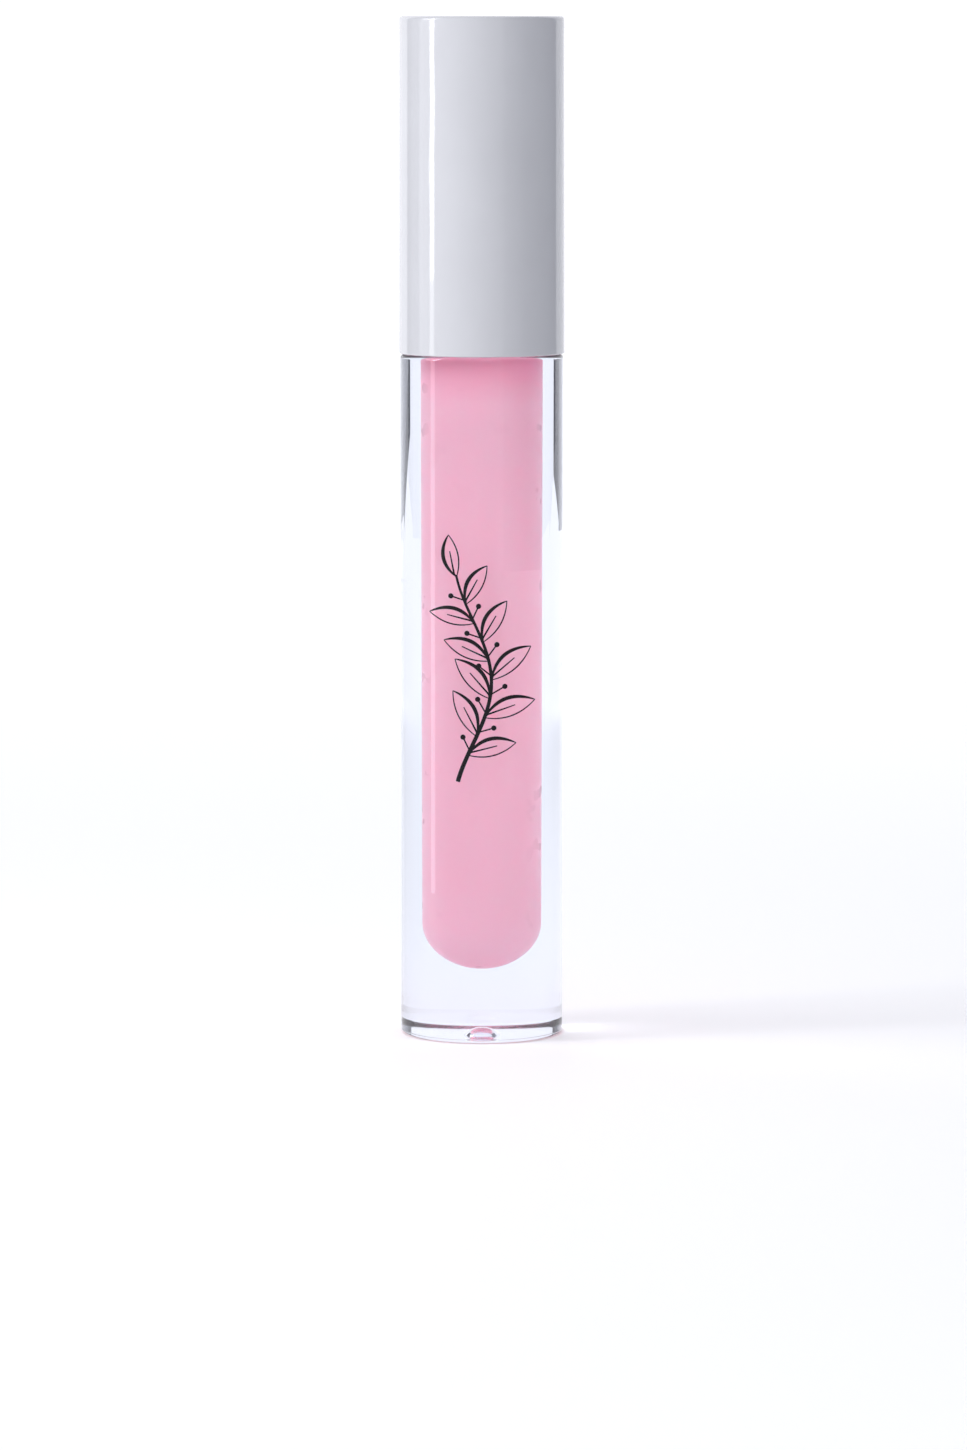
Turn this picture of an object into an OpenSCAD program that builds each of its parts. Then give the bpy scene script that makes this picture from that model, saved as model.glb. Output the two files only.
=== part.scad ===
// Lip gloss tube: thick clear bottle, screw cap with applicator wand.
// Millimetres, +Z up, origin at the centre of the base. The printed side faces -Y.

/* [Bottle] */
// Outside radius of the clear tube
tube_r = 9.3; // [9.1:0.1:9.5]
// Height of the shoulder where the closed cap ends
shoulder_z = 78.2; // [70:0.1:90]
// Radius of the rounded edge of the base
base_edge_r = 0.5; // [0.3:0.1:1.5]
// Radius of the rounded edge of the shoulder
shoulder_edge_r = 0.4; // [0.2:0.1:0.8]
// Radius of the cavity at the neck
cavity_top_r = 4.42; // [4.35:0.01:4.6]
// Radius of the cavity where its rounded end begins
cavity_low_r = 4.32; // [4.2:0.01:4.35]
// Height of the lowest point of the cavity
cavity_floor_z = 7.8; // [6:0.1:9]
// Height of the rounded end of the cavity
cavity_end_h = 5; // [4:0.1:6]
// Radius of the gate mark in the middle of the base
gate_r = 1.3; // [1:0.1:2]
// Depth of the gate mark
gate_depth = 1; // [0.2:0.1:1]

/* [Neck and thread] */
// Outside radius of the neck
neck_r = 6.5; // [6.4:0.05:6.6]
// Height of the neck above the shoulder
neck_h = 13; // [12:0.5:14]
// Rise of the thread in one turn
thread_lead = 2.5; // [2.4:0.1:2.6]
// Length of the thread in turns
thread_turns = 1.5; // [1:0.25:1.5]

/* [Cap] */
// Outside radius at the rim
cap_rim_r = 9.45; // [9.4:0.01:9.6]
// Outside radius at the top
cap_top_r = 9.37; // [9.3:0.01:9.6]
// Height of the cap
cap_h = 38.2; // [36:0.1:42]
// Thickness of the wall at the rim
cap_wall = 1.1; // [1:0.01:1.12]
// Shadow gap between the rim and the shoulder
rim_gap = 0.1; // [0.1:0.05:0.3]

/* [Wand] */
// Radius of the stem
stem_r = 1.9; // [1.7:0.05:1.9]
// Radius of the flocked tip
tip_r = 1.95; // [1.8:0.05:2]
// Height of the end of the tip above the base
tip_z = 10.8; // [10:0.1:12]
// Length of the flocked tip
tip_len = 13.5; // [10:0.5:16]
// Thickness of the flock
flock_t = 0.35; // [0.2:0.05:0.4]

/* [Printed sprig] */
// Height of the foot of the sprig
sprig_z = 30.1; // [25:0.1:35]
// Length of the sprig
sprig_len = 28.7; // [24:0.1:34]
// Leaves on the stalk, below the one at its end
leaf_count = 9; // [6:1:12]
// Width of the pen line
pen_w = 0.34; // [0.25:0.01:0.45]
// Thickness of the ink
ink_t = 0.03; // [0.02:0.01:0.05]

/* [Hidden] */
$fn = 96;

neck_top = shoulder_z + neck_h;
gate_ball = (gate_r * gate_r + gate_depth * gate_depth) / (2 * gate_depth);
edge_cut = 0.3;

// Thread: the bottle's ridge, and the cap's ridge that sits under it when closed
ridge_root_w = 1.3;
ridge_crest_w = 0.6;
ridge_z = shoulder_z + 2.6;
ridge_crest_r = 7.2;
cap_ridge_crest_r = 6.65;
cap_ridge_below = 1;
cap_ridge_late = 15;
ridge_step = 10;
ridge_taper = 40;
bite = 0.2;

// Wiper
wiper_flange_t = 0.8;
wiper_flange_r = 6.2;
wiper_gap = 0.04;
wiper_bore_r = 3.4;
wiper_mouth_r = 2.1;
wiper_end_z = shoulder_z + 2.6;
wiper_top = neck_top + wiper_flange_t;

// Seal washer, on the wiper's flange
seal_gap = 0.02;
seal_r = 6.9;
seal_bore_r = 3.45;
seal_t = 0.8;
seal_z = wiper_top + seal_gap;

// Inner cap
bore_r = 7.4;
skirt_r = 8.18;
skirt_z = shoulder_z + 0.5;
ceiling_z = seal_z + seal_t + seal_gap;
ceiling_t = 1.5;
boss_r = 4.4;
boss_h = 9.5;
web_h = 6.5;
web_t = 0.8;
web_count = 4;
grip_count = 24;
grip_w = 0.6;
grip_r = 8.32;

// Cap shell
cap_z = shoulder_z + rim_gap;
total_h = cap_z + cap_h;
shell_bore_r = cap_rim_r - cap_wall;
cap_edge_r = 0.4;
roof_t = 1.5;
stop_z = ceiling_z + ceiling_t + web_h + 0.05;

// Wand
plug_r = 2.8;
plug_h = 7.4;
plug_bead = 0.15;
plug_gap = 0.03;
collar_r = 3.3;
stem_z = tip_z + tip_len;
peg_r = 1.2;
peg_h = 5.8;
peg_gap = 0.05;

// Sprig
stalk_len = 0.83 * sprig_len;
sprig_shift = -1;
bud_r = 0.3;

// Gloss
gloss_gap = 0.03;
gloss_top = shoulder_z + 1.8;
channel_r = 2.1;
channel_z = tip_z - 0.5;

// Points along an arc about (cx, cz), from angle a to angle b
function arc(cx, cz, rx, rz, a, b, n = 8) =
    [for (i = [0:n]) let (t = a + (b - a) * i / n) [cx + rx * cos(t), cz + rz * sin(t)]];

// The cavity's wall from a height down to its lowest point, drawn in by gap
function cavity_wall(from_z, gap) =
    concat([[cavity_top_r - gap, from_z],
            [cavity_top_r - gap, shoulder_z]],
           arc(0, cavity_floor_z + cavity_end_h, cavity_low_r - gap, cavity_end_h - gap,
               0, -90, 24));

// A trapezoid helical ridge with tapered ends, from root_r to crest_r, rising with its turn
module helical_ridge(root_r, crest_r, start_z, start_angle, sweep) {
    steps = ceil(sweep / ridge_step);
    rings = [for (i = [0:steps])
        let (a = sweep * i / steps,
             full = min(1, 0.1 + min(a, sweep - a) / ridge_taper),
             r = root_r + (crest_r - root_r) * full,
             turn = start_angle + a,
             z = start_z + thread_lead * turn / 360)
        [for (p = [[root_r, -ridge_root_w], [r, -ridge_crest_w],
                   [r, ridge_crest_w], [root_r, ridge_root_w]])
            [p[0] * cos(turn), p[0] * sin(turn), z + p[1] / 2]]];
    corners = [for (ring = rings) for (p = ring) p];
    inward = crest_r < root_r;
    sides = [for (i = [0:steps - 1]) for (j = [0:3])
        let (a = 4 * i + j, b = 4 * i + (j + 1) % 4)
        each [[a, a + 4, b + 4], [a, b + 4, b]]];
    ends = [[0, 1, 2], [0, 2, 3],
            [4 * steps + 2, 4 * steps + 1, 4 * steps], [4 * steps + 3, 4 * steps + 2, 4 * steps]];
    faces = [for (f = concat(sides, ends)) inward ? f : [f[2], f[1], f[0]]];
    polyhedron(corners, faces, convexity = 6);
}

// The clear bottle: thick wall, round-ended cavity, threaded neck, gate mark in the base
module bottle() {
    outline = concat(
        arc(0, gate_depth - gate_ball, gate_ball, gate_ball, 90, acos(gate_r / gate_ball)),
        arc(tube_r - base_edge_r, base_edge_r, base_edge_r, base_edge_r, -90, 0),
        arc(tube_r - shoulder_edge_r, shoulder_z - shoulder_edge_r,
            shoulder_edge_r, shoulder_edge_r, 0, 90),
        [[neck_r, shoulder_z],
         [neck_r, neck_top - edge_cut],
         [neck_r - edge_cut, neck_top],
         [cavity_top_r + edge_cut, neck_top]],
        cavity_wall(neck_top - edge_cut, 0));
    color([0.92, 0.94, 1, 0.35])
    union() {
        rotate_extrude() polygon(outline);
        helical_ridge(neck_r - bite, ridge_crest_r, ridge_z, 0,
                      360 * thread_turns - cap_ridge_late);
    }
}

// The gloss, up to just above the shoulder, with the channel that the wand stands in
module gloss_fill() {
    outline = concat(
        cavity_wall(gloss_top, gloss_gap),
        [[0, channel_z],
         [channel_r, channel_z],
         [channel_r, gloss_top]]);
    color([0.93, 0.66, 0.78])
    rotate_extrude() polygon(outline);
}

// The wiper: flange on the neck, sleeve in its bore, conical lip that strips the stem
module wiper() {
    sleeve_r = cavity_top_r - wiper_gap;
    cone_z = wiper_end_z + 3;
    outline = [
        [wiper_bore_r, wiper_top],
        [wiper_flange_r, wiper_top],
        [wiper_flange_r, neck_top],
        [sleeve_r, neck_top],
        [sleeve_r, cone_z],
        [wiper_mouth_r + 0.5, wiper_end_z],
        [wiper_mouth_r, wiper_end_z],
        [wiper_bore_r, cone_z + 0.6]];
    color([0.96, 0.96, 0.95])
    rotate_extrude() polygon(outline);
}

// A leaf shape along +X from the origin, fuller on its left side
module blade(length, width) {
    left = 0.62 * width;
    right = width - left;
    left_r = (length * length / 4 + left * left) / (2 * left);
    right_r = (length * length / 4 + right * right) / (2 * right);
    intersection() {
        translate([length / 2, left - left_r]) circle(left_r);
        translate([length / 2, right_r - right]) circle(right_r);
    }
}

// A drawn leaf: a pen line that swells along one side, and a vein
module leaf(length, width) {
    difference() {
        blade(length, width);
        translate([pen_w * 1.5, -pen_w * 0.35]) blade(length - 3.2 * pen_w, width - 2 * pen_w);
    }
    translate([0, -pen_w / 3]) square([length * 0.62, pen_w * 0.66]);
}

// The stalk's sideways bend and its lean at a share of the sprig's length
function stalk_x(t) = 2.1 * sin(300 * t - 55);
function stalk_lean(t) = atan((stalk_x(t + 0.01) - stalk_x(t - 0.01)) / (0.02 * stalk_len));

// The sprig as a flat drawing, x across and y up the tube
module sprig_drawing() {
    steps = 28;
    stalk = [for (i = [0:steps]) [stalk_x(i / steps), stalk_len * i / steps,
                                  pen_w * (0.75 - 0.35 * i / steps)]];
    polygon(concat([for (p = stalk) [p[0] - p[2], p[1]]],
                   [for (i = [steps:-1:0]) [stalk[i][0] + stalk[i][2], stalk[i][1]]]));
    translate([stalk_x(1), stalk_len - 0.2])
        rotate(90 - stalk_lean(1))
        leaf(sprig_len - stalk_len, 1.7);
    for (i = [0:leaf_count - 1]) {
        t = 0.13 + 0.82 * i / leaf_count;
        side = i % 2 == 0 ? 1 : -1;
        size = 1 - 0.35 * abs(t - 0.35);
        translate([stalk_x(t), stalk_len * t])
            rotate(90 - stalk_lean(t) - side * 52)
            mirror([0, side > 0 ? 0 : 1])
            leaf(6.1 * size, 2.1 * size);
        translate([stalk_x(t + 0.02), stalk_len * (t + 0.02)])
            rotate(90 - stalk_lean(t) + side * 50)
            bud(1.9 * size);
    }
}

// A round bud on a hair-thin stem along +X
module bud(length) {
    translate([0, -pen_w / 4]) square([length, pen_w / 2]);
    translate([length, 0]) circle(bud_r);
}

// Ink on the front of the tube
module sprig_print() {
    color([0.06, 0.05, 0.07])
    intersection() {
        difference() {
            cylinder(r = tube_r + ink_t, h = shoulder_z - 1);
            translate([0, 0, -1]) cylinder(r = tube_r, h = shoulder_z + 1);
        }
        translate([0, 0, sprig_z])
            rotate([90, 0, 0])
            linear_extrude(tube_r + 1)
            translate([sprig_shift, 0])
            sprig_drawing();
    }
}

// Foam washer that the inner cap presses on the wiper's flange
module seal_washer() {
    color([0.85, 0.86, 0.88])
    translate([0, 0, seal_z])
    difference() {
        cylinder(r = seal_r, h = seal_t);
        translate([0, 0, -1]) cylinder(r = seal_bore_r, h = seal_t + 2);
    }
}

// The wand's stem: socket for the tip below, collar and snap plug above
module wand_stem() {
    plug_top = ceiling_z + plug_h;
    outline = concat(
        [[0, stem_z + peg_h],
         [peg_r + peg_gap, stem_z + peg_h],
         [peg_r + peg_gap, stem_z],
         [stem_r, stem_z],
         [stem_r, seal_z + 0.05],
         [collar_r, seal_z + 0.05],
         [collar_r, ceiling_z - seal_gap],
         [plug_r, ceiling_z - seal_gap]],
        arc(plug_r, ceiling_z + plug_h / 2, plug_bead, 0.4, -90, 90),
        [[plug_r, plug_top - 0.6],
         [plug_r - 0.6, plug_top],
         [0, plug_top]]);
    color([0.95, 0.95, 0.94])
    rotate_extrude() polygon(outline);
}

// A doe-foot end: a round-ended rod with its face cut at a slant
module doe_foot(r, low_z, high_z, cut) {
    difference() {
        union() {
            translate([0, 0, low_z + r]) cylinder(r = r, h = high_z - low_z - r);
            translate([0, 0, low_z + r]) sphere(r);
        }
        translate([-5, -cut, low_z])
            rotate([14, 0, 0])
            translate([0, -10, -4])
            cube([10, 10, 30]);
    }
}

// Moulded core of the tip, with the peg that holds it in the stem
module tip_core() {
    color([0.95, 0.93, 0.93])
    union() {
        doe_foot(tip_r - flock_t, tip_z + flock_t, stem_z - peg_gap, 0.2);
        translate([0, 0, stem_z - 1]) cylinder(r = peg_r, h = peg_h + 0.9);
    }
}

// The flock on the tip, soaked with gloss
module tip_flock() {
    color([0.94, 0.72, 0.81])
    difference() {
        doe_foot(tip_r, tip_z, stem_z - 2 * peg_gap, 0.2 + flock_t);
        doe_foot(tip_r - flock_t, tip_z + flock_t, stem_z, 0.2);
    }
}

// The threaded inner cap that holds the wand, ribbed to grip the shell
module inner_cap() {
    ceiling_top = ceiling_z + ceiling_t;
    boss_top = ceiling_top + boss_h;
    socket_r = plug_r + plug_gap;
    outline = concat(
        [[bore_r + edge_cut, skirt_z],
         [skirt_r, skirt_z],
         [skirt_r, ceiling_top],
         [boss_r, ceiling_top],
         [boss_r, boss_top],
         [0, boss_top],
         [0, boss_top - ceiling_t],
         [socket_r, boss_top - ceiling_t]],
        arc(socket_r, ceiling_z + plug_h / 2, plug_bead, 0.45, 90, -90),
        [[socket_r, ceiling_z],
         [bore_r, ceiling_z],
         [bore_r, skirt_z + edge_cut]]);
    color([0.9, 0.9, 0.92])
    union() {
        rotate_extrude() polygon(outline);
        for (i = [0:web_count - 1])
            rotate(i * 360 / web_count)
            translate([boss_r - bite, -web_t / 2, ceiling_top - bite])
            cube([skirt_r - boss_r, web_t, web_h + bite]);
        for (i = [0:grip_count - 1])
            rotate(i * 360 / grip_count)
            translate([skirt_r - bite, -grip_w / 2, skirt_z + 1])
            cube([grip_r - skirt_r + bite, grip_w, ceiling_top - skirt_z - 1]);
        helical_ridge(bore_r + bite, cap_ridge_crest_r, ridge_z - cap_ridge_below,
                      cap_ridge_late, 360 * thread_turns - cap_ridge_late);
    }
}

// The glossy outer shell, with ribs that stop on the inner cap's webs
module cap_shell() {
    outline = concat(
        [[shell_bore_r + 0.15, cap_z],
         [cap_rim_r - 0.15, cap_z],
         [cap_rim_r, cap_z + 0.15]],
        arc(cap_top_r - cap_edge_r, total_h - cap_edge_r, cap_edge_r, cap_edge_r, 0, 90),
        [[0, total_h],
         [0, total_h - roof_t],
         [shell_bore_r, total_h - roof_t],
         [shell_bore_r, cap_z + 0.15]]);
    color([0.78, 0.79, 0.82])
    union() {
        rotate_extrude() polygon(outline);
        for (i = [0:web_count - 1])
            rotate(i * 360 / web_count)
            translate([skirt_r - 1.2, -web_t / 2, stop_z])
            cube([shell_bore_r - skirt_r + 1.2 + bite, web_t, total_h - stop_z - roof_t + bite]);
    }
}

bottle();
gloss_fill();
wiper();
sprig_print();
seal_washer();
wand_stem();
tip_core();
tip_flock();
inner_cap();
cap_shell();
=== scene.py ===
"""Looks of the lip gloss tube: clear bottle, gloss, printed sprig, grey cap and applicator wand."""

import math
import random

import bmesh
import bpy
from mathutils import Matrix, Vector


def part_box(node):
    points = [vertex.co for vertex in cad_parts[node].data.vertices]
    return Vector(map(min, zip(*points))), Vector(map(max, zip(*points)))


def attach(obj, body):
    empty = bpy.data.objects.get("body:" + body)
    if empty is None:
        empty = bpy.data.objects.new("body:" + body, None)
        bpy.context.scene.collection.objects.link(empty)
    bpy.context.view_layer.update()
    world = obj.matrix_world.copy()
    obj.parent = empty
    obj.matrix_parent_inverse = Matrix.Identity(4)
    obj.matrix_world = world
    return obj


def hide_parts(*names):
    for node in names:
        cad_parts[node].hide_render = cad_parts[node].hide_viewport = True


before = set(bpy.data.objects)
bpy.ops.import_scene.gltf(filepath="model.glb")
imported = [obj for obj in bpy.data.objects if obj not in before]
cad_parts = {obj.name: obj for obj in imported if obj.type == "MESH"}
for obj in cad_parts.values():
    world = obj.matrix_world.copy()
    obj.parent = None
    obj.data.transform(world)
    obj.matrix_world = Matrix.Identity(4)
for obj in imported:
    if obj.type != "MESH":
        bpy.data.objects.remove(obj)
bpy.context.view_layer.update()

MM = 0.001
TURN = 2 * math.pi


def node_box(node):
    """A CAD node's lowest and highest corners, in millimetres."""
    low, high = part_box(node)
    return low / MM, high / MM


# Gaps: gloss to cavity, shoulder to cap rim, and the inner cap's ceiling to what is under it
GLOSS_GAP, RIM_GAP, SEAL_GAP = 0.03, 0.1, 0.02

# Driving sizes, in millimetres, from the frame
tube_r = node_box("bottle")[1].x
neck_top = node_box("bottle")[1].z
cap_z = node_box("cap_shell")[0].z
total_h = node_box("cap_shell")[1].z
cap_rim_r = node_box("cap_shell")[1].x
cavity_r = node_box("gloss_fill")[1].x + GLOSS_GAP
gloss_top = node_box("gloss_fill")[1].z
floor_z = node_box("gloss_fill")[0].z - GLOSS_GAP
wiper_low, wiper_high = node_box("wiper")
seal_low, seal_high = node_box("seal_washer")
stem_low, stem_high = node_box("wand_stem")
tip_low, tip_high = node_box("tip_flock")
core_low, core_high = node_box("tip_core")
inner_low, inner_high = node_box("inner_cap")
sprig_low, sprig_high = node_box("sprig_print")

shoulder_z = cap_z - RIM_GAP
neck_r = 6.5
ridge_crest_r = 7.2
ceiling_z = seal_high.z + SEAL_GAP


# Mesh building

# How far a guard point stands from its fillet
GUARD = 0.04


def rounded(corners, closed=False, steps=6):
    """Points (r, z) along an outline of corners (r, z) or (r, z, fillet radius).

    A guard point beside each fillet keeps the wall next to it optically straight.
    """
    points = []
    count = len(corners)
    for i, corner in enumerate(corners):
        here = Vector(corner[:2])
        radius = corner[2] if len(corner) > 2 else 0
        inside = closed or 0 < i < count - 1
        if not radius or not inside:
            points.append(here)
            continue
        back = (Vector(corners[i - 1][:2]) - here).normalized()
        ahead = (Vector(corners[(i + 1) % count][:2]) - here).normalized()
        half = back.angle(ahead) / 2
        reach = radius / math.tan(half)
        centre = here + (back + ahead).normalized() * radius / math.sin(half)
        first = here + back * reach - centre
        last = here + ahead * reach - centre
        sweep = first.angle_signed(last)
        points.append(here + back * (reach + GUARD))
        for step in range(steps + 1):
            a = -sweep * step / steps
            turned = Vector(
                (
                    first.x * math.cos(a) - first.y * math.sin(a),
                    first.x * math.sin(a) + first.y * math.cos(a),
                )
            )
            points.append(centre + turned)
        points.append(here + ahead * (reach + GUARD))
    return points


def arc(centre_r, centre_z, radius_r, radius_z, start, end, steps=12):
    """Points (r, z) along an elliptical arc between two angles in degrees."""
    points = []
    for step in range(steps + 1):
        a = math.radians(start + (end - start) * step / steps)
        point = (centre_r + radius_r * math.cos(a), centre_z + radius_z * math.sin(a))
        points.append(Vector(point))
    return points


def rows(r, low, high, step):
    """Closely spaced points up a straight wall."""
    count = math.ceil(abs(high - low) / step)
    return [Vector((r, low + (high - low) * i / count)) for i in range(count + 1)]


def lathe(bm, outline, closed=False, segments=192, warp=None):
    """Turns an outline about Z. The warp may move each point (r, turn, z).

    An outline's end on the axis becomes one point, with triangles round it.
    """
    rings = []
    for r, z in outline:
        on_axis = r < 1e-6
        ring = []
        for i in range(1 if on_axis else segments):
            turn = TURN * i / segments
            at = (r, turn, z) if warp is None else warp(r, turn, z)
            place = (at[0] * math.cos(at[1]), at[0] * math.sin(at[1]), at[2])
            ring.append(bm.verts.new(Vector(place) * MM))
        rings.append(ring)
    pairs = list(zip(rings, rings[1:]))
    if closed:
        pairs.append((rings[-1], rings[0]))
    for low, high in pairs:
        for i in range(segments):
            j = (i + 1) % segments
            a, b = low[i % len(low)], low[j % len(low)]
            c, d = high[j % len(high)], high[i % len(high)]
            bm.faces.new(list(dict.fromkeys((a, b, c, d))))


def block(bm, centre, half, turn):
    """A box at a distance from the axis along X, turned about Z."""
    corners = []
    for dx, dy, dz in ((x, y, z) for x in (-1, 1) for y in (-1, 1) for z in (-1, 1)):
        x = centre[0] + dx * half[0]
        y = centre[1] + dy * half[1]
        place = (
            x * math.cos(turn) - y * math.sin(turn),
            x * math.sin(turn) + y * math.cos(turn),
            centre[2] + dz * half[2],
        )
        corners.append(bm.verts.new(Vector(place) * MM))
    sides = ((0, 1, 3, 2), (4, 6, 7, 5), (0, 4, 5, 1), (2, 3, 7, 6), (0, 2, 6, 4), (1, 5, 7, 3))
    for side in sides:
        bm.faces.new([corners[k] for k in side])


def piece(name, bm, material, body, node, crease=40):
    """Makes the mesh an object that stands for a CAD node and rides on its body."""
    bmesh.ops.recalc_face_normals(bm, faces=bm.faces)
    mesh = bpy.data.meshes.new(name)
    bm.to_mesh(mesh)
    bm.free()
    mesh.polygons.foreach_set("use_smooth", [True] * len(mesh.polygons))
    mesh.set_sharp_from_angle(angle=math.radians(crease))
    made = bpy.data.objects.new(name, mesh)
    bpy.context.scene.collection.objects.link(made)
    mesh.materials.append(material)
    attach(made, body)
    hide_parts(node)
    return made


# Threads, as a rise of the wall under a trapezoid ridge

THREAD_LEAD = 2.5
THREAD_SWEEP = 525
RIDGE_ROOT_W, RIDGE_CREST_W = 1.3, 0.6
RIDGE_TAPER = 40
ridge_z = shoulder_z + 2.6


def ridge_height(turn, z, start_z, start_angle):
    """How high the ridge stands at a turn and a height, from 0 to 1."""
    best = 0
    first = math.degrees(turn) - start_angle
    first -= 360 * math.floor(first / 360)
    while first <= THREAD_SWEEP:
        middle = start_z + THREAD_LEAD * (start_angle + first) / 360
        away = abs(z - middle)
        flank = (RIDGE_ROOT_W / 2 - away) / (RIDGE_ROOT_W / 2 - RIDGE_CREST_W / 2)
        taper = min(1, min(first, THREAD_SWEEP - first) / RIDGE_TAPER)
        best = max(best, min(1, max(0, flank)) * taper)
        first += 360
    return best * best * (3 - 2 * best)


# Materials


class Paint:
    """A Principled material, with helpers that drive its sockets by patterns in object space."""

    def __init__(self, name, colour, roughness, **sockets):
        self.material = bpy.data.materials.new(name)
        self.material.use_nodes = True
        self.tree = self.material.node_tree
        self.shader = self.tree.nodes["Principled BSDF"]
        self.shader.inputs["Base Color"].default_value = (*colour, 1)
        self.shader.inputs["Roughness"].default_value = roughness
        for socket, value in sockets.items():
            self.shader.inputs[socket.replace("_", " ")].default_value = value
        self.coordinates = self.tree.nodes.new("ShaderNodeTexCoord")

    def link(self, source, target):
        self.tree.links.new(source, target)

    def stretched(self, stretch):
        """Object coordinates scaled along each axis."""
        mapping = self.tree.nodes.new("ShaderNodeMapping")
        mapping.inputs["Scale"].default_value = stretch
        self.link(self.coordinates.outputs["Object"], mapping.inputs["Vector"])
        return mapping.outputs["Vector"]

    def noise(self, size, detail=3, stretch=(1, 1, 1)):
        """Noise with features of about a size in millimetres."""
        node = self.tree.nodes.new("ShaderNodeTexNoise")
        node.inputs["Scale"].default_value = 1 / (size * MM)
        node.inputs["Detail"].default_value = detail
        self.link(self.stretched(stretch), node.inputs["Vector"])
        return node.outputs["Fac"]

    def cells(self, size):
        """Distance to the middle of the nearest of many cells."""
        node = self.tree.nodes.new("ShaderNodeTexVoronoi")
        node.inputs["Scale"].default_value = 1 / (size * MM)
        self.link(self.coordinates.outputs["Object"], node.inputs["Vector"])
        return node.outputs["Distance"]

    def spread(self, source, low, high, start=0.3, end=0.7):
        """The source's values from start to end as values from low to high."""
        node = self.tree.nodes.new("ShaderNodeMapRange")
        node.inputs["From Min"].default_value = start
        node.inputs["From Max"].default_value = end
        node.inputs["To Min"].default_value = low
        node.inputs["To Max"].default_value = high
        self.link(source, node.inputs["Value"])
        return node.outputs["Result"]

    def height(self):
        """Height up the tube, in millimetres."""
        split = self.tree.nodes.new("ShaderNodeSeparateXYZ")
        scale = self.tree.nodes.new("ShaderNodeMath")
        scale.operation = "DIVIDE"
        scale.inputs[1].default_value = MM
        self.link(self.coordinates.outputs["Object"], split.inputs["Vector"])
        self.link(split.outputs["Z"], scale.inputs[0])
        return scale.outputs["Value"]

    def blend(self, share, first, second):
        """A colour between two, by a share. Either may be another pattern's colour."""
        node = self.tree.nodes.new("ShaderNodeMix")
        node.data_type = "RGBA"
        for socket, colour in (("A", first), ("B", second)):
            target = [s for s in node.inputs if s.name == socket and s.type == "RGBA"][0]
            if isinstance(colour, tuple):
                target.default_value = (*colour, 1)
            else:
                self.link(colour, target)
        self.link(share, node.inputs["Factor"])
        return [s for s in node.outputs if s.type == "RGBA"][0]

    def join(self, a, b, operation="MULTIPLY"):
        """Two patterns multiplied or added."""
        node = self.tree.nodes.new("ShaderNodeMath")
        node.operation = operation
        self.link(a, node.inputs[0])
        self.link(b, node.inputs[1])
        return node.outputs["Value"]

    def rough(self, source):
        self.link(source, self.shader.inputs["Roughness"])

    def colour(self, source):
        self.link(source, self.shader.inputs["Base Color"])

    def bump(self, source, depth):
        """Relief of a depth in millimetres."""
        node = self.tree.nodes.new("ShaderNodeBump")
        node.inputs["Strength"].default_value = 1
        node.inputs["Distance"].default_value = depth * MM
        self.link(source, node.inputs["Height"])
        self.link(node.outputs["Normal"], self.shader.inputs["Normal"])


def clear_plastic():
    """Polished thick wall with slow moulding waves, scuffed where it stands."""
    paint = Paint("clear_wall", (0.888, 0.914, 0.98), 0.0, Transmission_Weight=1, IOR=1.57)
    polish = paint.spread(paint.noise(1.8, 4), 0.0, 0.009, 0.45, 0.85)
    standing_edge = paint.spread(paint.height(), 1, 0, 0.1, 0.8)
    scuffs = paint.spread(paint.noise(0.3, 4), 0, 0.22, 0.45, 0.7)
    paint.rough(paint.join(polish, paint.join(standing_edge, scuffs), "ADD"))
    paint.bump(paint.noise(14, 1, (1, 1, 0.35)), 0.008)
    return paint.material


def gloss_gel():
    """Milky pink gel, with the cap's shadow painted into its colour as a deeper pink near the top.
    """
    paint = Paint(
        "gloss",
        (0.9, 0.45, 0.6),
        0.35,
        Subsurface_Weight=1,
        Subsurface_Scale=0.006,
        Subsurface_Radius=(1, 0.6, 0.7),
        Specular_IOR_Level=0.15,
    )
    swirl = paint.noise(5, 2, (1, 1, 0.25))
    body = paint.blend(paint.spread(swirl, 0, 1), (0.965, 0.477, 0.56), (0.98, 0.5, 0.584))
    # Painted shade: the colour turns a deeper pink towards the shoulder, standing in for the cap's
    # shadow on the gel.
    shade = paint.spread(paint.height(), 0, 1, shoulder_z - 5.5, shoulder_z + 0.5)
    paint.colour(paint.blend(shade, body, (0.86, 0.27, 0.4)))
    paint.rough(paint.spread(paint.noise(3, 2), 0.25, 0.4))
    return paint.material


def ink():
    """Black print with a fine grain."""
    paint = Paint("print_ink", (0.004, 0.0035, 0.0045), 0.3, Specular_IOR_Level=0.2)
    paint.rough(paint.spread(paint.noise(0.25, 3), 0.22, 0.42))
    paint.bump(paint.noise(0.12, 2), 0.004)
    return paint.material


def cap_plastic():
    """Glossy grey shell, rubbed dull in places along its rim and its top edge."""
    grey = (0.56, 0.57, 0.6)
    paint = Paint("cap_plastic", grey, 0.12, IOR=1.53, Coat_Weight=0.35, Coat_Roughness=0.03)
    mottle = paint.spread(paint.noise(9, 3), 0, 1)
    paint.colour(paint.blend(mottle, (0.53, 0.535, 0.56), (0.55, 0.555, 0.58)))
    polish = paint.spread(paint.noise(0.7, 5, (1, 1, 0.15)), 0.06, 0.13, 0.35, 0.75)
    rim_edge = paint.spread(paint.height(), 1, 0, cap_z + 0.05, cap_z + 0.5)
    top_edge = paint.spread(paint.height(), 0, 1, total_h - 0.5, total_h - 0.1)
    rubbing = paint.spread(paint.noise(0.4, 5), 0, 0.25, 0.4, 0.7)
    wear = paint.join(paint.join(rim_edge, top_edge, "ADD"), rubbing)
    paint.rough(paint.join(polish, wear, "ADD"))
    paint.bump(paint.noise(8, 2, (1, 1, 0.5)), 0.08)
    return paint.material


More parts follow.
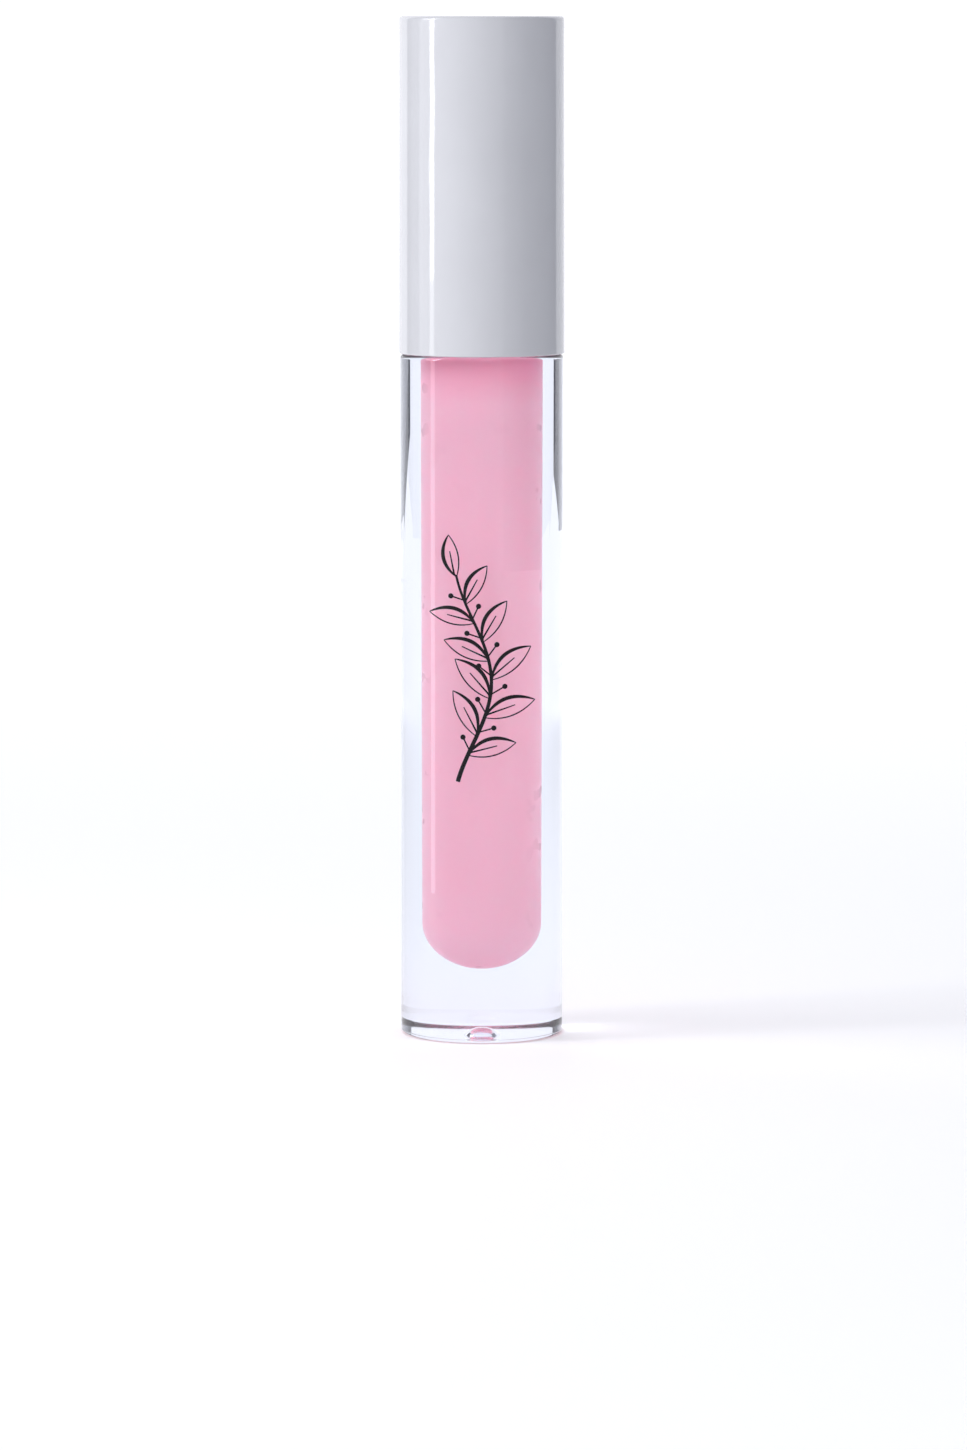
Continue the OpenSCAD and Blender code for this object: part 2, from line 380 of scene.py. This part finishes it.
def soft_plastic(name, colour, roughness, glow=0.3):
    """Satin moulded plastic that lets a little light in."""
    paint = Paint(name, colour, roughness, Subsurface_Weight=glow, Subsurface_Scale=0.001)
    paint.rough(paint.spread(paint.noise(0.8, 3), roughness - 0.08, roughness + 0.1))
    paint.bump(paint.noise(0.35, 3), 0.006)
    return paint.material


def stem_plastic():
    """Smooth rod with a film of gloss on the stretch that stands in the gel."""
    paint = Paint("stem_plastic", (0.85, 0.84, 0.82), 0.25, Coat_Weight=0.4, Coat_Roughness=0.05)
    wet = paint.spread(paint.height(), 1, 0, shoulder_z - 8, shoulder_z + 3)
    streaks = paint.spread(paint.noise(1.6, 4, (1, 1, 0.2)), 0.55, 1, 0.3, 0.6)
    film = paint.join(wet, streaks)
    paint.colour(paint.blend(film, (0.85, 0.84, 0.82), (0.9, 0.5, 0.64)))
    paint.rough(paint.spread(film, 0.3, 0.08, 0, 1))
    paint.bump(paint.noise(0.9, 3, (1, 1, 0.3)), 0.02)
    return paint.material


def flock_fibre():
    """Nylon fibres wet with gloss, in paler and deeper clumps."""
    pink = (0.88, 0.5, 0.63)
    paint = Paint("flock", pink, 0.4, Sheen_Weight=0.3, Coat_Weight=0.5, Coat_Roughness=0.15)
    clump = paint.spread(paint.noise(0.5, 4), 0, 1)
    paint.colour(paint.blend(clump, (0.84, 0.42, 0.56), (0.93, 0.6, 0.71)))
    paint.rough(paint.spread(paint.noise(0.3, 2), 0.25, 0.6))
    paint.bump(paint.noise(0.12, 3), 0.03)
    return paint.material


def foam():
    """Closed-cell foam with its cut cells."""
    grey = (0.8, 0.81, 0.84)
    paint = Paint("seal_foam", grey, 0.75, Subsurface_Weight=0.2, Subsurface_Scale=0.0005)
    paint.rough(paint.spread(paint.cells(0.25), 0.6, 0.9, 0, 0.6))
    paint.bump(paint.cells(0.25), 0.05)
    return paint.material


# The bottle and what stays in it

GATE_R, GATE_DEPTH = 1.3, 1.0
BASE_EDGE, SHOULDER_EDGE, CUT = 0.5, 0.4, 0.3
CAVITY_LOW_R, CAVITY_END_H = 4.32, 5.0
# The gloss reaches this far into the wall, so that no film of air lies between them
WETTING = 0.02
CHANNEL_R = 2.1


def cavity(grow, top):
    """The cavity's wall from its lowest point up to a height, moved outward by grow."""
    end = arc(0, floor_z + CAVITY_END_H, CAVITY_LOW_R + grow, CAVITY_END_H + grow, -90, 0, 40)
    guard = end[-1] + Vector((0, GUARD))
    return [*end, guard, Vector((cavity_r + grow, shoulder_z)), Vector((cavity_r + grow, top))]


def make_bottle():
    """The thick tube with its gate mark, shoulder, threaded neck and round-ended cavity."""
    ball = (GATE_R**2 + GATE_DEPTH**2) / (2 * GATE_DEPTH)
    mark = arc(0, GATE_DEPTH - ball, ball, ball, 90, math.degrees(math.acos(GATE_R / ball)), 14)
    wall = rounded(
        [
            (GATE_R, 0),
            (tube_r, 0, BASE_EDGE),
            (tube_r, shoulder_z, SHOULDER_EDGE),
            (neck_r, shoulder_z, 0.2),
            (neck_r, shoulder_z + 1),
        ],
        steps=10,
    )
    threaded = rows(neck_r, shoulder_z + 1.2, shoulder_z + 8, 0.06)
    lip = rounded(
        [
            (neck_r, neck_top - 1),
            (neck_r, neck_top, CUT),
            (cavity_r, neck_top, CUT),
            (cavity_r, neck_top - 1),
        ]
    )
    inside = cavity(0, neck_top - 1.2)[::-1]

    def thread(r, turn, z):
        if abs(r - neck_r) < 1e-6 and z > shoulder_z + 1:
            r += (ridge_crest_r - neck_r) * ridge_height(turn, z, ridge_z, 0)
        return r, turn, z

    bm = bmesh.new()
    lathe(bm, [*mark[:-1], *wall, *threaded, *lip, *inside], segments=256, warp=thread)
    return piece("bottle_clear", bm, clear_plastic(), "tube", "bottle", 50)


def make_gloss():
    """The gel column, dished at its top, with a channel where the wand stands."""
    top = gloss_top
    surface = rounded(
        [
            (cavity_r + WETTING, top),
            (cavity_r - 0.6, top - 0.35, 0.5),
            (CHANNEL_R + 0.4, top - 0.35, 0.4),
            (CHANNEL_R, top),
            (CHANNEL_R, tip_low.z - 0.5, 0.8),
            (0, tip_low.z - 0.5),
        ]
    )
    bm = bmesh.new()
    lathe(bm, [*cavity(WETTING, top)[:-1], *surface])
    return piece("gloss_column", bm, gloss_gel(), "tube", "gloss_fill")


def make_wiper():
    """The insert in the neck, with a flange on top and a cone that strips the wand."""
    sleeve_r = cavity_r - 0.04
    mouth_r = 2.1
    bore_r = 3.4
    cone_z = wiper_low.z + 3
    outline = rounded(
        [
            (bore_r, wiper_high.z, 0.25),
            (wiper_high.x, wiper_high.z, 0.2),
            (wiper_high.x, neck_top, 0.15),
            (sleeve_r, neck_top, 0.1),
            (sleeve_r, cone_z, 0.5),
            (mouth_r + 0.5, wiper_low.z, 0.15),
            (mouth_r, wiper_low.z, 0.12),
            (bore_r, cone_z + 0.6, 0.8),
        ],
        closed=True,
    )
    bm = bmesh.new()
    lathe(bm, outline, closed=True, segments=128)
    material = soft_plastic("wiper_plastic", (0.86, 0.86, 0.84), 0.4, 0.5)
    return piece("wiper_insert", bm, material, "tube", "wiper")


# The sprig: pen strokes on the front of the tube

PEN = 0.34
INK = 0.03
INK_SINK = 0.004
BUD_R = 0.3
STALK_SHARE = 0.83
LEAVES = 9
SHIFT = -1


def on_tube(x, z, lift):
    """The point on the front of the tube at a sideways place and a height."""
    y = -math.sqrt(tube_r**2 - x**2)
    grow = (tube_r + lift) / tube_r
    return Vector((x * grow, y * grow, z)) * MM


def stroke(bm, line, halves):
    """A raised line of ink through flat points (x, z), with half its width at each."""
    rings = []
    for i, here in enumerate(line):
        before, after = line[max(i - 1, 0)], line[min(i + 1, len(line) - 1)]
        along = (after - before).normalized()
        side = Vector((-along.y, along.x)) * halves[i]
        left, right = here + side, here - side
        ring = [
            on_tube(left.x, left.y, 0),
            on_tube(left.x * 0.6 + here.x * 0.4, left.y * 0.6 + here.y * 0.4, INK * 0.9),
            on_tube(right.x * 0.6 + here.x * 0.4, right.y * 0.6 + here.y * 0.4, INK * 0.9),
            on_tube(right.x, right.y, 0),
            on_tube(here.x, here.y, -INK_SINK),
        ]
        rings.append([bm.verts.new(p) for p in ring])
    sides = len(rings[0])
    for low, high in zip(rings, rings[1:]):
        for k in range(sides):
            bm.faces.new((low[k], low[(k + 1) % sides], high[(k + 1) % sides], high[k]))
    bm.faces.new(rings[0])
    bm.faces.new(rings[-1])


def turned(origin, degrees, along, across):
    """A flat point given along and across a direction from an origin."""
    c, s = math.cos(math.radians(degrees)), math.sin(math.radians(degrees))
    return Vector((origin.x + along * c - across * s, origin.y + along * s + across * c))


def leaf(bm, origin, degrees, length, width, side):
    """A swelling line on one side, a hair line on the other, and a vein."""
    steps = 20
    for sag, heavy in ((0.62 * width, True), (-0.38 * width, False)):
        line, halves = [], []
        for i in range(steps + 1):
            t = i / steps
            across = sag * (1 - (2 * t - 1) ** 2)
            line.append(turned(origin, degrees, length * t, side * across))
            swell = math.sin(math.pi * t) ** 0.8
            thick = 0.14 + 0.5 * swell if heavy else 0.16 + 0.08 * swell
            halves.append(PEN * thick)
        stroke(bm, line, halves)
    vein = [turned(origin, degrees, length * 0.62 * i / 8, side * 0.12 * width) for i in range(9)]
    vein[0] = turned(origin, degrees, 0, 0)
    stroke(bm, vein, [PEN * (0.34 - 0.02 * i) for i in range(9)])


def bud(bm, origin, degrees, length):
    """A dot at the end of a hair line."""
    stroke(bm, [turned(origin, degrees, length * i / 6, 0) for i in range(7)], [PEN / 4] * 7)
    middle = turned(origin, degrees, length, 0)
    ring = []
    for i in range(24):
        edge = turned(middle, 360 * i / 24, BUD_R, 0)
        ring.append(bm.verts.new(on_tube(edge.x, edge.y, 0)))
    top = bm.verts.new(on_tube(middle.x, middle.y, INK))
    under = bm.verts.new(on_tube(middle.x, middle.y, -INK_SINK))
    for i in range(24):
        bm.faces.new((ring[i], ring[(i + 1) % 24], top))
        bm.faces.new((ring[(i + 1) % 24], ring[i], under))


def make_sprig():
    """A bending stalk with leaves and buds on both sides and a leaf at its end."""
    foot = sprig_low.z
    length = sprig_high.z - sprig_low.z
    stalk_len = STALK_SHARE * length

    def stalk(t):
        bend = 2.1 * math.sin(math.radians(300 * t - 55))
        return Vector((SHIFT + bend, foot + stalk_len * t))

    def heading(t):
        step = stalk(t + 0.01) - stalk(t - 0.01)
        return math.degrees(math.atan2(step.y, step.x))

    bm = bmesh.new()
    steps = 48
    stroke(
        bm,
        [stalk(i / steps) for i in range(steps + 1)],
        [PEN * (0.75 - 0.35 * i / steps) for i in range(steps + 1)],
    )
    leaf(bm, stalk(0.99), heading(1), length - stalk_len, 1.7, 1)
    for i in range(LEAVES):
        t = 0.13 + 0.82 * i / LEAVES
        side = 1 if i % 2 == 0 else -1
        size = 1 - 0.35 * abs(t - 0.35)
        leaf(bm, stalk(t), heading(t) - side * 52, 6.1 * size, 2.1 * size, side)
        bud(bm, stalk(t + 0.02), heading(t) + side * 50, 1.9 * size)
    return piece("sprig_ink", bm, ink(), "tube", "sprig_print", 60)


# The cap and the wand

SEAL_BORE_R = 3.45


def make_seal():
    """The foam ring on the wiper's flange."""
    outline = rounded(
        [
            (SEAL_BORE_R, seal_low.z, 0.15),
            (seal_high.x, seal_low.z, 0.15),
            (seal_high.x, seal_high.z, 0.15),
            (SEAL_BORE_R, seal_high.z, 0.15),
        ],
        closed=True,
    )
    bm = bmesh.new()
    lathe(bm, outline, closed=True, segments=96)
    return piece("seal_ring", bm, foam(), "seal", "seal_washer")


PLUG_R, PLUG_GAP = 2.8, 0.03
COLLAR_R, STEM_R = 3.3, 1.9
PEG_R, PEG_H, PEG_GAP = 1.2, 5.8, 0.05
BEAD, BEAD_HALF_H = 0.15, 0.45
bead_z = ceiling_z + 3.7
collar_z = seal_low.z + 0.05
collar_top = ceiling_z - SEAL_GAP


def make_stem():
    """The rod with its collar and the snap plug that the inner cap holds."""
    outline = rounded(
        [
            (0, stem_low.z + PEG_H),
            (PEG_R + PEG_GAP, stem_low.z + PEG_H),
            (PEG_R + PEG_GAP, stem_low.z, 0.15),
            (STEM_R, stem_low.z, 0.2),
            (STEM_R, collar_z, 0.3),
            (COLLAR_R, collar_z, 0.15),
            (COLLAR_R, collar_top, 0.1),
            (PLUG_R, collar_top, 0.1),
            (PLUG_R, bead_z - BEAD_HALF_H, 0.1),
            (PLUG_R + BEAD, bead_z, 0.2),
            (PLUG_R, bead_z + BEAD_HALF_H, 0.1),
            (PLUG_R, stem_high.z - 0.6, 0.1),
            (PLUG_R - 0.6, stem_high.z, 0.1),
            (0, stem_high.z),
        ]
    )
    bm = bmesh.new()
    lathe(bm, outline, segments=96)
    return piece("wand_rod", bm, stem_plastic(), "wand", "wand_stem")


SLANT = math.tan(math.radians(14))
FACE_EDGE = 0.18
CORE_CUT, SKIN_CUT = 0.2, 0.38
FIBRES = 6000
# How far the fibres stand out of the skin
FIBRE_REACH = 0.18


def slanted(low_z, cut):
    """A warp that cuts the front of a rod to a slanted face with a soft edge."""

    def warp(r, turn, z):
        x, y = r * math.cos(turn), r * math.sin(turn)
        face = -cut - (z - low_z) * SLANT
        share = min(1, max(0, 0.5 + 0.5 * (y - face) / FACE_EDGE))
        y = face + (y - face) * share + FACE_EDGE * share * (1 - share)
        return math.hypot(x, y), math.atan2(y, x), z

    return warp


def make_core():
    """The tip's moulded core, with a slanted face and a peg up into the stem."""
    r = core_high.x
    low, top = core_low.z, stem_low.z - PEG_GAP
    outline = [
        *arc(0, low + r, r, r, -90, 0, 16),
        *rows(r, low + r + 0.3, top - 0.4, 0.4),
        *rounded(
            [
                (r, top - 0.2),
                (r, top, 0.15),
                (PEG_R, top, 0.1),
                (PEG_R, core_high.z, 0.25),
                (0, core_high.z),
            ]
        ),
    ]
    bm = bmesh.new()
    lathe(bm, outline, segments=64, warp=slanted(low, CORE_CUT))
    material = soft_plastic("tip_core_plastic", (0.85, 0.83, 0.82), 0.35)
    return piece("tip_core_rod", bm, material, "cap", "tip_core")


def add_fibres(bm, faces, count, rng):
    """Short tapered fibres standing on faces, combed a little down the tip."""
    areas = [f.calc_area() for f in faces]
    for face in rng.choices(faces, weights=areas, k=count):
        corners = [v.co for v in face.verts]
        shares = [rng.random() for _ in corners]
        foot = sum((c * s for c, s in zip(corners, shares)), Vector()) / sum(shares)
        swirl = math.sin(foot.x / MM * 5 + foot.z / MM * 2.1) * 0.25
        stray = [rng.uniform(-0.3, 0.3) for _ in range(3)]
        lean = Vector((swirl + stray[0], stray[1], stray[2] - 0.35))
        up = (face.normal + lean).normalized()
        side = up.orthogonal().normalized()
        across = up.cross(side)
        tall = rng.uniform(0.16, 0.3) * MM
        wide = rng.uniform(0.014, 0.024) * MM
        ring = []
        for k in range(3):
            a = TURN * k / 3
            out = (side * math.cos(a) + across * math.sin(a)) * wide
            ring.append(bm.verts.new(foot - up * 0.03 * MM + out))
        tip = bm.verts.new(foot + up * tall)
        for k in range(3):
            bm.faces.new((ring[k], ring[(k + 1) % 3], tip))
        bm.faces.new(ring[::-1])


def make_flock():
    """The flock's skin round the core, with fibres standing on it."""
    r = tip_high.x - FIBRE_REACH
    low, top = tip_low.z + FIBRE_REACH, stem_low.z - 0.1
    inner = core_high.x
    skin = [
        *arc(0, low + r, r, r, -90, 0, 20),
        *rows(r, low + r + 0.25, top - 0.3, 0.25),
    ]
    rim = rounded([(r, top - 0.15), (r, top, 0.12), (inner, top), (inner, top - 0.2)])
    lining = [
        *rows(inner, top - 0.4, core_low.z + inner, 0.4),
        *arc(0, core_low.z + inner, inner, inner, 0, -90, 12)[1:],
    ]
    bm = bmesh.new()
    segments = 72
    lathe(bm, [*skin, *rim], segments=segments, warp=slanted(tip_low.z, SKIN_CUT))
    outer = list(bm.faces)
    lathe(bm, lining, segments=segments, warp=slanted(core_low.z, CORE_CUT))
    bmesh.ops.recalc_face_normals(bm, faces=outer)
    add_fibres(bm, outer, FIBRES, random.Random(11))
    return piece("tip_flock_fibres", bm, flock_fibre(), "cap", "tip_flock", 60)


BORE_R, SKIRT_R, GRIP_R = 7.4, 8.18, 8.32
CAP_RIDGE_R, CAP_RIDGE_START = 6.65, 15
cap_ridge_z = ridge_z - 1
BOSS_R = 4.4
CEILING = 1.5
WEB_H, WEB_T, WEBS = 6.5, 0.8, 4
GRIPS = 24
SHELL_WALL = 1.1
SHELL_BORE_R = cap_rim_r - SHELL_WALL


def make_inner_cap():
    """The threaded closure, ribbed outside, with the plug's socket and webs on its roof."""
    skirt_z = inner_low.z
    top = ceiling_z + CEILING
    boss_top = inner_high.z
    socket_r = PLUG_R + PLUG_GAP
    upper = rounded(
        [
            (0, boss_top),
            (BOSS_R, boss_top, 0.4),
            (BOSS_R, top, 0.5),
            (SKIRT_R, top, 0.3),
            (SKIRT_R, top - 1),
        ]
    )
    outside = rows(SKIRT_R, top - 1.2, skirt_z + 0.8, 0.5)
    rim = rounded(
        [
            (SKIRT_R, skirt_z + 0.6),
            (SKIRT_R, skirt_z, 0.12),
            (BORE_R, skirt_z, 0.2),
            (BORE_R, skirt_z + 0.4),
        ]
    )
    bore = rows(BORE_R, skirt_z + 0.5, skirt_z + 8, 0.07)
    socket = rounded(
        [
            (BORE_R, skirt_z + 8.2),
            (BORE_R, ceiling_z, 0.3),
            (socket_r, ceiling_z, 0.05),
            (socket_r, bead_z - BEAD_HALF_H),
            (socket_r + BEAD, bead_z, 0.2),
            (socket_r, bead_z + BEAD_HALF_H),
            (socket_r, boss_top - CEILING, 0.2),
            (0, boss_top - CEILING),
        ]
    )

    def detail(r, turn, z):
        if abs(r - BORE_R) < 1e-6:
            r += (CAP_RIDGE_R - BORE_R) * ridge_height(turn, z, cap_ridge_z, CAP_RIDGE_START)
        elif abs(r - SKIRT_R) < 1e-6 and skirt_z + 0.7 < z < top - 0.5:
            wave = math.cos(GRIPS * turn)
            r += (GRIP_R - SKIRT_R) * min(1, max(0, wave * 3 - 1))
        return r, turn, z

    bm = bmesh.new()
    lathe(bm, [*upper, *outside, *rim, *bore, *socket], segments=288, warp=detail)
    middle = (BOSS_R + SKIRT_R) / 2 - 0.1
    for i in range(WEBS):
        half = ((SKIRT_R - BOSS_R) / 2, WEB_T / 2, WEB_H / 2 + 0.1)
        block(bm, (middle, 0, top + WEB_H / 2 - 0.1), half, TURN * i / WEBS)
    material = soft_plastic("inner_cap_plastic", (0.74, 0.75, 0.79), 0.35)
    return piece("inner_cap_threaded", bm, material, "cap", "inner_cap", 50)


def make_shell():
    """The outer cap, with webs under its roof that stand on the inner cap."""
    roof = 1.5
    edge = 0.4
    top_r = cap_rim_r - 0.08
    outline = rounded(
        [
            (0, total_h),
            (top_r, total_h, edge),
            (cap_rim_r, cap_z, 0.15),
            (SHELL_BORE_R, cap_z, 0.15),
            (SHELL_BORE_R, total_h - roof, 0.5),
            (0, total_h - roof),
        ],
        steps=10,
    )
    bm = bmesh.new()
    lathe(bm, outline, segments=256)
    low = ceiling_z + CEILING + WEB_H + 0.05
    high = total_h - roof + 0.2
    inner, outer = SKIRT_R - 1.2, SHELL_BORE_R + 0.2
    for i in range(WEBS):
        half = ((outer - inner) / 2, WEB_T / 2, (high - low) / 2)
        block(bm, ((outer + inner) / 2, 0, (high + low) / 2), half, TURN * i / WEBS)
    return piece("cap_outer", bm, cap_plastic(), "cap", "cap_shell")


# Studio


def around(azimuth, distance, z):
    """A point at an azimuth in degrees from the camera's side, positive to the camera's right."""
    a = math.radians(azimuth)
    return Vector((distance * math.sin(a), -distance * math.cos(a), z)) * MM


def facing_axis(place, target_z):
    """The rotation that points a light at the tube's axis at a height."""
    return (Vector((0, 0, target_z * MM)) - place).to_track_quat("-Z", "Y").to_euler()


def soft_light(name, azimuth, distance, z, wide, tall, power, target_z, spread=180):
    """A softbox aimed at the tube's axis, out of the camera's sight.

    Angles are in degrees, places and sizes in millimetres and power in watts.
    """
    data = bpy.data.lights.new(name, "AREA")
    data.shape = "RECTANGLE"
    data.size, data.size_y = wide * MM, tall * MM
    data.energy = power
    data.spread = math.radians(spread)
    light = bpy.data.objects.new(name, data)
    light.location = around(azimuth, distance, z)
    light.rotation_euler = facing_axis(light.location, target_z)
    light.visible_camera = False
    bpy.context.scene.collection.objects.link(light)
    return light


def stage_mesh(name, points, faces, colour, roughness=0.9, glow=0):
    """A flat studio surface that isn't part of the tube."""
    mesh = bpy.data.meshes.new(name)
    mesh.from_pydata(points, [], faces)
    made = bpy.data.objects.new(name, mesh)
    bpy.context.scene.collection.objects.link(made)
    paint = Paint(name, colour, roughness)
    if glow:
        paint.shader.inputs["Emission Color"].default_value = (*colour, 1)
        paint.shader.inputs["Emission Strength"].default_value = glow
    mesh.materials.append(paint.material)
    return made


def card(name, azimuths, lows, highs, colour, distance=330):
    """An upright card between two azimuths, its edges running between two heights each."""
    steps = 8
    points, faces = [], []
    for i in range(steps + 1):
        t = i / steps
        a = azimuths[0] + (azimuths[1] - azimuths[0]) * t
        points.append(around(a, distance, lows[0] + (lows[1] - lows[0]) * t))
        points.append(around(a, distance, highs[0] + (highs[1] - highs[0]) * t))
        if i:
            faces.append((2 * i - 2, 2 * i, 2 * i + 1, 2 * i - 1))
    made = stage_mesh(name, points, faces, colour)
    made.visible_camera = False
    return made


def make_floor():
    """A wide pale floor a hair below the bottle, so the clear base keeps its own underside."""
    reach, drop = 40000, 0.05
    corners = ((-reach, -reach), (reach, -reach), (reach, reach), (-reach, reach))
    points = [Vector((x, y, -drop)) * MM for x, y in corners]
    return stage_mesh("floor", points, [(0, 1, 2, 3)], (0.8, 0.805, 0.815), 0.6, 0.26)


def light_only(light, names):
    """Makes a light fall on the named pieces alone."""
    lit = bpy.data.collections.new(f"lit_by_{light.name}")
    for name in names:
        lit.objects.link(bpy.data.objects[name])
    light.light_linking.receiver_collection = lit


def make_studio():
    """White surroundings, soft lights on the left, a fill on the right, and grey and dark cards.

    The cards make the stripes that the clear wall and the cap show. The fill is kept out of
    reflections, where it would show on the gloss, and off the cap, which it would make too pale.
    """
    make_floor()
    world = bpy.data.worlds.new("studio")
    bpy.context.scene.world = world
    world.use_nodes = True
    sky = world.node_tree.nodes["Background"]
    sky.inputs["Color"].default_value = (0.98, 0.985, 1.04, 1)
    sky.inputs["Strength"].default_value = 1.06
    soft_light("left_softbox", -80, 520, 300, 240, 360, 0.72, target_z=80)
    soft_light("left_strip", -71, 120, 126, 15, 88, 0.033, target_z=100)
    soft_light("left_strip_low", -71, 120, 43, 15, 84, 0.009, target_z=43)
    fill = soft_light("right_fill", 64, 110, 46, 66, 92, 0.0135, target_z=46, spread=60)
    fill.visible_glossy = False
    light_only(fill, ("bottle_clear", "gloss_column"))
    grey = (0.2, 0.21, 0.24)
    pale = 0.85
    for i in range(8):
        shade = [pale + (tone - pale) * (i + 1) / 9 for tone in grey]
        card(f"right_fade_{i}", (30 + 4 * i, 34 + 4 * i), (25, 25), (700, 700), shade)
    card("right_near", (62, 92), (25, 25), (700, 700), grey)
    card("right_far", (92, 112), (30, 33), (700, 700), grey)
    card("right_slope", (112, 126), (33, 50), (700, 700), grey)
    card("right_seam", (111, 127), (30, 47), (37, 64), (0.03, 0.03, 0.04), 325)
    card("left_far", (-114, -96), (30, 30), (600, 600), (0.2, 0.2, 0.23))
    card("left_gap", (-126.5, -114), (40, 32), (500, 500), (0.02, 0.015, 0.03), 325)


# The camera stands in front, a little above the cap, and looks down
CAMERA_DISTANCE = 706.4
CAMERA_RISE = 0.6
CAMERA_TILT = 6.585
CAMERA_LENS = 153.6
CAMERA_SIDE = 0.2


def make_camera():
    """A long lens in front of the tube."""
    data = bpy.data.cameras.new("camera")
    data.lens = CAMERA_LENS
    data.sensor_width = 36
    data.clip_start = 0.01
    camera = bpy.data.objects.new("camera", data)
    place = (CAMERA_SIDE, -CAMERA_DISTANCE, total_h + CAMERA_RISE)
    camera.location = Vector(place) * MM
    camera.rotation_euler = (math.radians(90 - CAMERA_TILT), 0, 0)
    bpy.context.scene.collection.objects.link(camera)
    bpy.context.scene.camera = camera


scene = bpy.context.scene
scene.view_settings.view_transform = "Standard"
# Long light paths, so light gets into and out of the gloss through the clear wall
scene.cycles.blur_glossy = 0.05
scene.cycles.max_bounces = 24
scene.cycles.diffuse_bounces = 12
scene.cycles.glossy_bounces = 12
scene.cycles.transmission_bounces = 24
make_camera()
make_bottle()
make_gloss()
make_wiper()
make_sprig()
make_seal()
make_stem()
make_core()
make_flock()
make_inner_cap()
make_shell()
make_studio()
